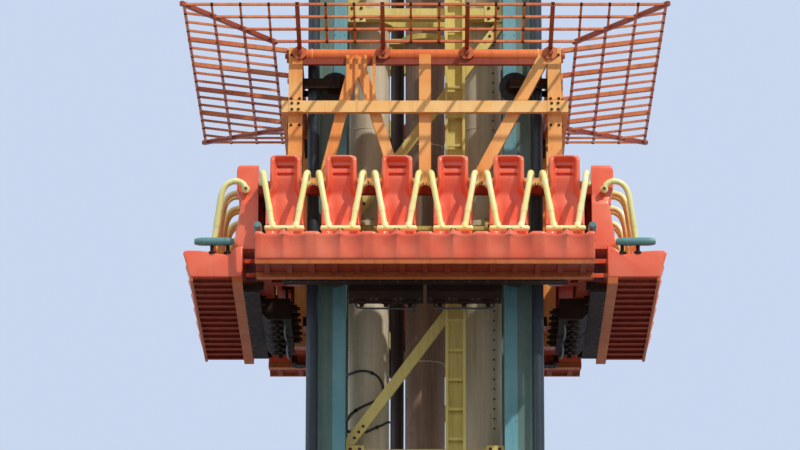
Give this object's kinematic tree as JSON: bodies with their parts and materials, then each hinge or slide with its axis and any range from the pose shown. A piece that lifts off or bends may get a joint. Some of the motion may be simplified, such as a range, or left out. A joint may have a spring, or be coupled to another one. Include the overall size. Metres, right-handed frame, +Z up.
{
  "type": "drop tower ride",
  "caption": "Square lattice tower with air tubes and a ring-shaped seat carriage that slides up and down it, with hinged over-shoulder restraints and a mesh guard canopy.",
  "frame": {"origin": "ground level on the tower's axis, on the underside of the base frame", "axes": "+Z up along the tower, the front with the ladder faces -Y, +X to the right seen from the front"},
  "size_m": [5.265, 5.265, 26.42],
  "materials": {
    "column_paint": "faded satin teal",
    "lattice_paint": "faded straw yellow",
    "tube_paint": "dusty grey beige",
    "dark_steel": "satin",
    "frame_paint": "sun-faded orange gloss",
    "row_paint": "satin oxide red",
    "seat_shell": "moulded glass fibre",
    "restraint_paint": "powder coat",
    "wheel_rubber": "matt"
  },
  "bodies": {
    "tower": {"base_frame": "column_paint", "front_left_column": "column_paint", "front_right_column": "column_paint", "back_right_column": "column_paint", "back_left_column": "column_paint", "front_lattice": "lattice_paint", "right_lattice": "lattice_paint", "back_lattice": "lattice_paint", "left_lattice": "lattice_paint", "air_tube_front_left": "tube_paint", "air_tube_front_right": "tube_paint", "air_tube_back_right": "tube_paint", "air_tube_back_left": "tube_paint", "air_tube_centre": "tube_paint", "air_riser": "dark_steel", "tube_guides": "lattice_paint", "tower_ladder": "lattice_paint", "head_frame": "column_paint", "head_deck": "lattice_paint", "head_sheaves": "dark_steel"},
    "carriage": {"front_frame": "frame_paint", "front_row_frame": "row_paint", "front_seat_pan": "seat_shell", "front_underside": "row_paint", "front_seat_backs": "seat_shell", "front_guide_wheels": "wheel_rubber", "front_canopy": "frame_paint", "right_frame": "frame_paint", "right_row_frame": "row_paint", "right_seat_pan": "seat_shell", "right_underside": "row_paint", "right_seat_backs": "seat_shell", "right_guide_wheels": "wheel_rubber", "right_canopy": "frame_paint", "back_frame": "frame_paint", "back_row_frame": "row_paint", "back_seat_pan": "seat_shell", "back_underside": "row_paint", "back_seat_backs": "seat_shell", "back_guide_wheels": "wheel_rubber", "back_canopy": "frame_paint", "left_frame": "frame_paint", "left_row_frame": "row_paint", "left_seat_pan": "seat_shell", "left_underside": "row_paint", "left_seat_backs": "seat_shell", "left_guide_wheels": "wheel_rubber", "left_canopy": "frame_paint"},
    "front_restraint_row": {"front_restraints": "restraint_paint"},
    "right_restraint_row": {"right_restraints": "restraint_paint"},
    "back_restraint_row": {"back_restraints": "restraint_paint"},
    "left_restraint_row": {"left_restraints": "restraint_paint"}
  },
  "joints": [
    {"name": "carriage_lift", "type": "slide", "parent": "tower", "child": "carriage", "axis": [0, 0, 1], "range_m": [-13.9, 7.4]},
    {"name": "front_restraint_hinge", "type": "hinge", "parent": "carriage", "child": "front_restraint_row", "pos_m": [0, -1.935, 15.685], "axis": [-1, 0, 0], "range_deg": [0, 95]},
    {"name": "right_restraint_hinge", "type": "hinge", "parent": "carriage", "child": "right_restraint_row", "pos_m": [1.935, 0, 15.685], "axis": [0, -1, 0], "range_deg": [0, 95]},
    {"name": "back_restraint_hinge", "type": "hinge", "parent": "carriage", "child": "back_restraint_row", "pos_m": [0, 1.935, 15.685], "axis": [1, 0, 0], "range_deg": [0, 95]},
    {"name": "left_restraint_hinge", "type": "hinge", "parent": "carriage", "child": "left_restraint_row", "pos_m": [-1.935, 0, 15.685], "axis": [0, 1, 0], "range_deg": [0, 95]}
  ]
}
